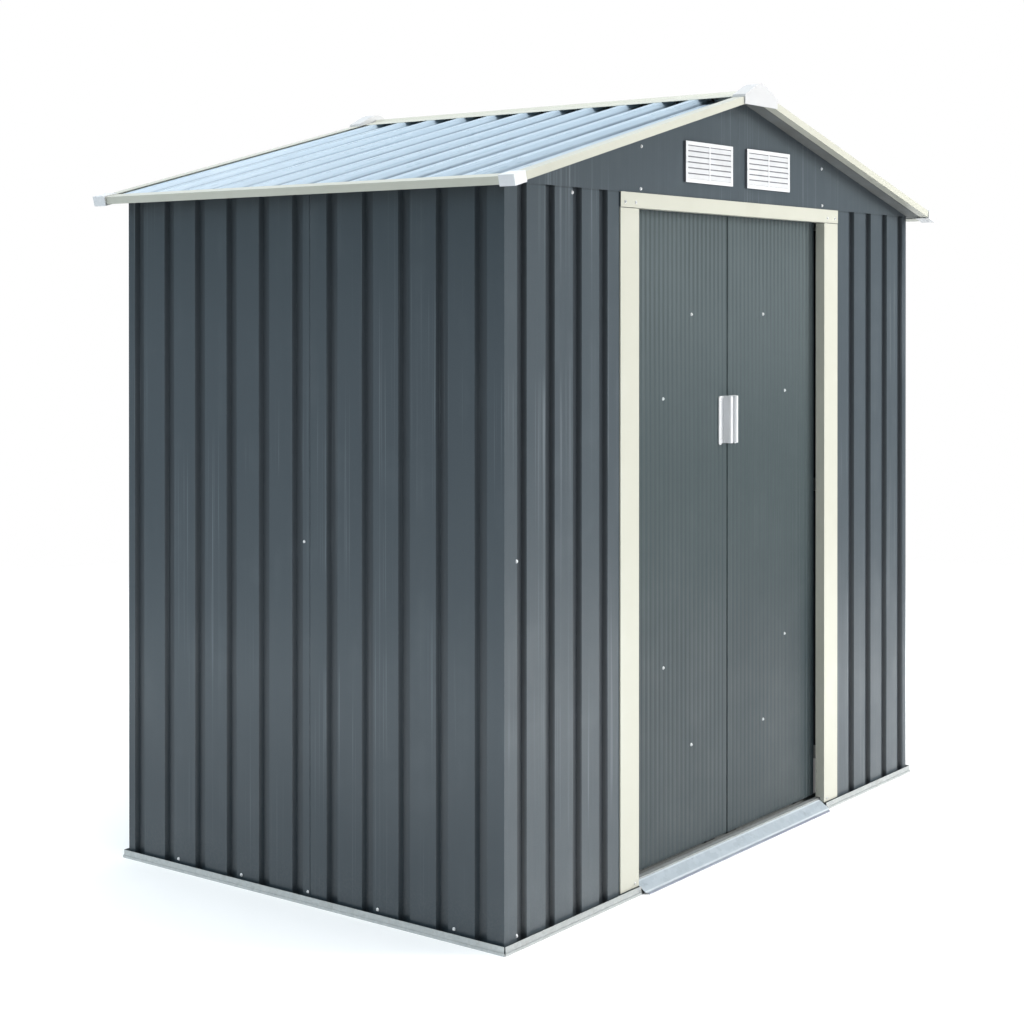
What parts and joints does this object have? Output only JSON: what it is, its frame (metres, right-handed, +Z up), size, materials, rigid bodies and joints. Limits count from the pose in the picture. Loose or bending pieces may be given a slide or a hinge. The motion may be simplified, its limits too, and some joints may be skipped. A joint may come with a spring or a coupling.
{
  "type": "metal storage shed",
  "caption": "Metal garden shed with ribbed grey sheet walls, a low gable roof with pale trims, louvred gable vents, a galvanised base frame and sliding doors with white pulls.",
  "frame": {"origin": "on the ground at the centre of the plan", "axes": "+X to the right seen from the front, the doors face -Y, +Z up"},
  "size_m": [2.0328, 1.3026, 1.9106],
  "materials": {
    "wall_sheet": "satin",
    "door_sheet": "satin",
    "roof_sheet": "satin",
    "cream_trim": "satin",
    "galvanised_steel": "galvanised",
    "ramp_zinc": "galvanised",
    "white_plastic": "smooth",
    "glide_plastic": "smooth"
  },
  "bodies": {
    "shed": {"base_rail_front": "galvanised_steel", "base_rail_back": "galvanised_steel", "base_rail_left": "galvanised_steel", "base_rail_right": "galvanised_steel", "door_ramp": "ramp_zinc", "lower_door_track": "galvanised_steel", "left_wall_front_panel": "wall_sheet", "left_wall_back_panel": "wall_sheet", "right_wall_front_panel": "wall_sheet", "right_wall_back_panel": "wall_sheet", "back_wall_left_panel": "wall_sheet", "back_wall_right_panel": "wall_sheet", "front_wall_left_panel": "wall_sheet", "front_wall_right_panel": "wall_sheet", "front_gable_left": "wall_sheet", "front_gable_right": "wall_sheet", "back_gable_left": "wall_sheet", "back_gable_right": "wall_sheet", "gable_vents": "white_plastic", "wall_top_rails": "galvanised_steel", "wall_mid_braces": "galvanised_steel", "door_header": "cream_trim", "door_jamb_left": "cream_trim", "door_jamb_right": "cream_trim", "upper_door_track": "galvanised_steel", "ridge_beam": "galvanised_steel", "roof_purlins": "galvanised_steel", "roof_sheet_left_front": "roof_sheet", "roof_sheet_left_back": "roof_sheet", "roof_sheet_right_front": "roof_sheet", "roof_sheet_right_back": "roof_sheet", "ridge_cap": "cream_trim", "eave_trim_left": "cream_trim", "eave_trim_right": "cream_trim", "rake_trims_front": "cream_trim", "rake_trims_back": "cream_trim", "roof_corner_caps": "white_plastic", "peak_caps": "white_plastic"},
    "left_door": {"left_door_panel": "door_sheet", "left_door_braces": "galvanised_steel", "left_door_handle": "white_plastic", "left_door_glides": "glide_plastic"},
    "right_door": {"right_door_panel": "door_sheet", "right_door_braces": "galvanised_steel", "right_door_handle": "white_plastic", "right_door_glides": "glide_plastic"}
  },
  "joints": [
    {"name": "left_door_slide", "type": "slide", "parent": "shed", "child": "left_door", "axis": [-1, 0, 0], "range_m": [0, 0.395]},
    {"name": "right_door_slide", "type": "slide", "parent": "shed", "child": "right_door", "axis": [1, 0, 0], "range_m": [0, 0.395]}
  ]
}
